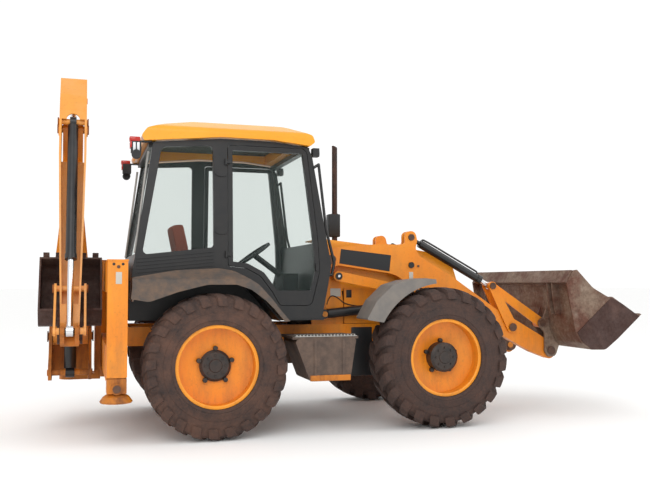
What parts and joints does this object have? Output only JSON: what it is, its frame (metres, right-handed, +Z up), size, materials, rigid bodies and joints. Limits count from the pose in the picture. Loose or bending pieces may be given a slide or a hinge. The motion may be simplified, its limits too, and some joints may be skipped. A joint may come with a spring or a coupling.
{
  "type": "backhoe loader",
  "caption": "Four-wheel-steer backhoe loader with glazed cab, front loader bucket on twin arms and a folded sideshift backhoe at the rear, every ram and link jointed",
  "frame": {"origin": "middle of the bounding box on the ground, between the wheels", "axes": "+X forwards to the loader bucket, +Y to the machine's left, +Z up"},
  "size_m": [6.099, 2.43, 3.4707],
  "materials": {
    "orange_paint": "gloss",
    "yellow_paint": "gloss",
    "dark_frame": "satin",
    "dark_grey_plastic": "matte",
    "tinted_glass": "gloss",
    "tyre_rubber": "matte",
    "ram_black": "satin",
    "ram_rod_steel": "polished",
    "worn_steel": "rough",
    "engine_grey": "matte",
    "seat_fabric": "matte",
    "exhaust_rust": "rough",
    "lamp_red": "gloss",
    "tank_brown": "satin"
  },
  "bodies": {
    "chassis": {"main_frame": "orange_paint", "rear_frame": "orange_paint", "axles": "dark_frame", "powertrain": "engine_grey", "side_tanks": "tank_brown", "front_nose": "dark_frame", "exhaust": "exhaust_rust", "cab_frame": "dark_frame", "cab_roof": "yellow_paint", "cab_glass": "tinted_glass", "seat": "seat_fabric", "cab_controls": "dark_grey_plastic", "rear_fenders": "dark_grey_plastic", "cab_lamps": "lamp_red"},
    "bonnet": {"bonnet": "yellow_paint"},
    "door_right": {"door_right": "dark_frame", "door_glass_right": "tinted_glass"},
    "door_left": {"door_left": "dark_frame", "door_glass_left": "tinted_glass"},
    "knuckle_front_left": {"knuckle_front_left": "dark_frame", "front_fender_left": "dark_grey_plastic"},
    "wheel_front_left": {"rim_front_left": "orange_paint", "tyre_front_left": "tyre_rubber"},
    "knuckle_front_right": {"knuckle_front_right": "dark_frame", "front_fender_right": "dark_grey_plastic"},
    "wheel_front_right": {"rim_front_right": "orange_paint", "tyre_front_right": "tyre_rubber"},
    "knuckle_rear_left": {"knuckle_rear_left": "dark_frame"},
    "wheel_rear_left": {"rim_rear_left": "orange_paint", "tyre_rear_left": "tyre_rubber"},
    "knuckle_rear_right": {"knuckle_rear_right": "dark_frame"},
    "wheel_rear_right": {"rim_rear_right": "orange_paint", "tyre_rear_right": "tyre_rubber"},
    "stabiliser_left": {"stabiliser_left": "orange_paint"},
    "stabiliser_right": {"stabiliser_right": "orange_paint"},
    "loader_arms": {"loader_arms": "orange_paint"},
    "lift_barrels": {"lift_barrels": "ram_black"},
    "lift_rods": {"lift_rods": "ram_rod_steel"},
    "crowd_barrels": {"crowd_barrels": "ram_black"},
    "crowd_rods": {"crowd_rods": "ram_rod_steel"},
    "tipping_levers": {"tipping_levers": "orange_paint"},
    "bucket_links": {"bucket_links": "orange_paint"},
    "loader_bucket": {"loader_bucket": "worn_steel"},
    "levelling_links": {"levelling_links": "orange_paint"},
    "carriage": {"carriage": "orange_paint"},
    "kingpost": {"kingpost": "orange_paint"},
    "boom": {"boom": "orange_paint"},
    "boom_barrel": {"boom_barrel": "ram_black"},
    "boom_rod": {"boom_rod": "ram_rod_steel"},
    "dipper": {"dipper": "orange_paint"},
    "dipper_barrel": {"dipper_barrel": "ram_black"},
    "dipper_rod": {"dipper_rod": "ram_rod_steel"},
    "hoe_ram_barrel": {"hoe_ram_barrel": "ram_black"},
    "hoe_ram_rod": {"hoe_ram_rod": "ram_rod_steel"},
    "side_levers": {"side_levers": "orange_paint"},
    "tipping_link": {"tipping_link": "orange_paint"},
    "hoe_bucket": {"hoe_bucket": "worn_steel"}
  },
  "joints": [
    {"name": "bonnet_hinge", "type": "hinge", "parent": "chassis", "child": "bonnet", "pos_m": [-0.258, 0, 1.85], "axis": [0, -1, 0], "range_deg": [0, 35]},
    {"name": "door_right_hinge", "type": "hinge", "parent": "chassis", "child": "door_right", "pos_m": [-1.378, -0.87, 1.06], "axis": [0, -0.0593, -0.9982], "range_deg": [0, 110]},
    {"name": "door_left_hinge", "type": "hinge", "parent": "chassis", "child": "door_left", "pos_m": [-1.378, 0.87, 1.06], "axis": [0, -0.0593, 0.9982], "range_deg": [0, 110]},
    {"name": "front_right_steer", "type": "hinge", "parent": "chassis", "child": "knuckle_front_right", "pos_m": [0.712, -0.82, 0.68], "axis": [0, 0, 1], "range_deg": [-22, 22]},
    {"name": "front_right_wheel", "type": "hinge", "parent": "knuckle_front_right", "child": "wheel_front_right", "pos_m": [0.712, -0.975, 0.68], "axis": [0, 1, 0], "continuous": true},
    {"name": "front_left_steer", "type": "hinge", "parent": "chassis", "child": "knuckle_front_left", "pos_m": [0.712, 0.82, 0.68], "axis": [0, 0, 1], "range_deg": [-22, 22]},
    {"name": "front_left_wheel", "type": "hinge", "parent": "knuckle_front_left", "child": "wheel_front_left", "pos_m": [0.712, 0.975, 0.68], "axis": [0, 1, 0], "continuous": true},
    {"name": "rear_right_steer", "type": "hinge", "parent": "chassis", "child": "knuckle_rear_right", "pos_m": [-1.508, -0.82, 0.655], "axis": [0, 0, -1], "range_deg": [-16, 16]},
    {"name": "rear_right_wheel", "type": "hinge", "parent": "knuckle_rear_right", "child": "wheel_rear_right", "pos_m": [-1.508, -0.975, 0.655], "axis": [0, 1, 0], "continuous": true},
    {"name": "rear_left_steer", "type": "hinge", "parent": "chassis", "child": "knuckle_rear_left", "pos_m": [-1.508, 0.82, 0.655], "axis": [0, 0, -1], "range_deg": [-16, 16]},
    {"name": "rear_left_wheel", "type": "hinge", "parent": "knuckle_rear_left", "child": "wheel_rear_left", "pos_m": [-1.508, 0.975, 0.655], "axis": [0, 1, 0], "continuous": true},
    {"name": "stabiliser_right_slide", "type": "slide", "parent": "chassis", "child": "stabiliser_right", "axis": [0, 0, -1], "range_m": [0, 0.5]},
    {"name": "stabiliser_left_slide", "type": "slide", "parent": "chassis", "child": "stabiliser_left", "axis": [0, 0, -1], "range_m": [0, 0.5]},
    {"name": "lift", "type": "hinge", "parent": "chassis", "child": "loader_arms", "pos_m": [-0.246, 0, 1.64], "axis": [0, -1, 0], "range_deg": [-10, 64]},
    {"name": "lift_barrel_swing", "type": "hinge", "parent": "chassis", "child": "lift_barrels", "pos_m": [-0.308, 0, 1.085], "axis": [0, -1, 0], "range_deg": [-8.84, 51.14]},
    {"name": "lift_rod_slide", "type": "slide", "parent": "lift_barrels", "child": "lift_rods", "axis": [0.9954, 0, 0.0954], "range_m": [-0.0801, 0.4859]},
    {"name": "levelling_link_swing", "type": "hinge", "parent": "chassis", "child": "levelling_links", "pos_m": [-0.178, 0, 1.47], "axis": [0, -1, 0], "range_deg": [-11, 65]},
    {"name": "bucket_tilt", "type": "hinge", "parent": "loader_arms", "child": "loader_bucket", "pos_m": [2.282, 0, 0.66], "axis": [0, -1, 0], "range_deg": [-98, 0]},
    {"name": "tipping_lever_swing", "type": "hinge", "parent": "loader_arms", "child": "tipping_levers", "pos_m": [1.81, 0, 0.923], "axis": [0, -1, 0], "range_deg": [-71.1, 1]},
    {"name": "bucket_link_swing", "type": "hinge", "parent": "loader_bucket", "child": "bucket_links", "pos_m": [2.182, 0, 0.963], "axis": [0, -1, 0], "range_deg": [-1, 80.41]},
    {"name": "crowd_barrel_swing", "type": "hinge", "parent": "loader_arms", "child": "crowd_barrels", "pos_m": [0.639, 0, 1.88], "axis": [0, -1, 0], "range_deg": [-1, 8.46]},
    {"name": "crowd_rod_slide", "type": "slide", "parent": "crowd_barrels", "child": "crowd_rods", "axis": [0.8781, 0, -0.4785], "range_m": [-0.005, 0.5593]},
    {"name": "carriage_slide", "type": "slide", "parent": "chassis", "child": "carriage", "axis": [0, 1, 0], "range_m": [-1.1, 0]},
    {"name": "slew", "type": "hinge", "parent": "carriage", "child": "kingpost", "pos_m": [-2.768, 0.62, 0.76], "axis": [0, 0, -1], "range_deg": [0, 180]},
    {"name": "boom_lift", "type": "hinge", "parent": "kingpost", "child": "boom", "pos_m": [-2.768, 0.34, 0.86], "axis": [1, 0, 0], "range_deg": [0, 100]},
    {"name": "boom_barrel_swing", "type": "hinge", "parent": "kingpost", "child": "boom_barrel", "pos_m": [-2.768, 0.1, 0.52], "axis": [1, 0, 0], "range_deg": [-1, 92.24]},
    {"name": "boom_rod_slide", "type": "slide", "parent": "boom_barrel", "child": "boom_rod", "axis": [0, 0.1224, 0.9925], "range_m": [-0.6191, 0.005]},
    {"name": "dipper_swing", "type": "hinge", "parent": "boom", "child": "dipper", "pos_m": [-2.768, 0, 2.92], "axis": [-1, 0, 0], "range_deg": [0, 110]},
    {"name": "dipper_barrel_swing", "type": "hinge", "parent": "boom", "child": "dipper_barrel", "pos_m": [-2.768, 0.76, 1.5], "axis": [1, 0, 0], "range_deg": [-1, 12.76]},
    {"name": "dipper_rod_slide", "type": "slide", "parent": "dipper_barrel", "child": "dipper_rod", "axis": [0, -0.2617, 0.9651], "range_m": [-0.6756, 0.005]},
    {"name": "hoe_bucket_turn", "type": "hinge", "parent": "dipper", "child": "hoe_bucket", "pos_m": [-2.768, -0.66, 1.05], "axis": [-1, 0, 0], "range_deg": [0, 177]},
    {"name": "side_lever_swing", "type": "hinge", "parent": "dipper", "child": "side_levers", "pos_m": [-2.768, -0.57569, 1.34898], "axis": [-1, 0, 0], "range_deg": [-1, 86.12]},
    {"name": "tipping_link_swing", "type": "hinge", "parent": "hoe_bucket", "child": "tipping_link", "pos_m": [-2.768, -0.45371, 0.89235], "axis": [-1, 0, 0], "range_deg": [-113.94, 1]},
    {"name": "hoe_barrel_swing", "type": "hinge", "parent": "dipper", "child": "hoe_ram_barrel", "pos_m": [-2.768, -0.12028, 2.96982], "axis": [-1, 0, 0], "range_deg": [-1, 12.53]},
    {"name": "hoe_rod_slide", "type": "slide", "parent": "hoe_ram_barrel", "child": "hoe_ram_rod", "axis": [0, -0.3417, -0.9398], "range_m": [-0.5013, 0.005]}
  ],
  "couplings": [
    {"joint": "front_left_steer", "follows": "front_right_steer", "ratio": 1},
    {"joint": "rear_left_steer", "follows": "rear_right_steer", "ratio": 1},
    {"joint": "lift_barrel_swing", "follows": "lift", "ratio": 0.78351},
    {"joint": "lift_rod_slide", "follows": "lift", "m_per_rad": 0.43052},
    {"joint": "levelling_link_swing", "follows": "lift", "ratio": 1},
    {"joint": "tipping_lever_swing", "follows": "bucket_tilt", "ratio": 0.71534},
    {"joint": "bucket_link_swing", "follows": "bucket_tilt", "ratio": -0.81035},
    {"joint": "crowd_barrel_swing", "follows": "bucket_tilt", "ratio": -0.07613},
    {"joint": "crowd_rod_slide", "follows": "bucket_tilt", "m_per_rad": -0.32407},
    {"joint": "boom_barrel_swing", "follows": "boom_lift", "ratio": 0.9124},
    {"joint": "boom_rod_slide", "follows": "boom_lift", "m_per_rad": -0.35186},
    {"joint": "dipper_barrel_swing", "follows": "dipper_swing", "ratio": 0.10688},
    {"joint": "dipper_rod_slide", "follows": "dipper_swing", "m_per_rad": -0.3493},
    {"joint": "side_lever_swing", "follows": "hoe_bucket_turn", "ratio": 0.4809},
    {"joint": "tipping_link_swing", "follows": "hoe_bucket_turn", "ratio": -0.63807},
    {"joint": "hoe_barrel_swing", "follows": "hoe_bucket_turn", "ratio": 0.06512},
    {"joint": "hoe_rod_slide", "follows": "hoe_bucket_turn", "m_per_rad": -0.16066}
  ]
}
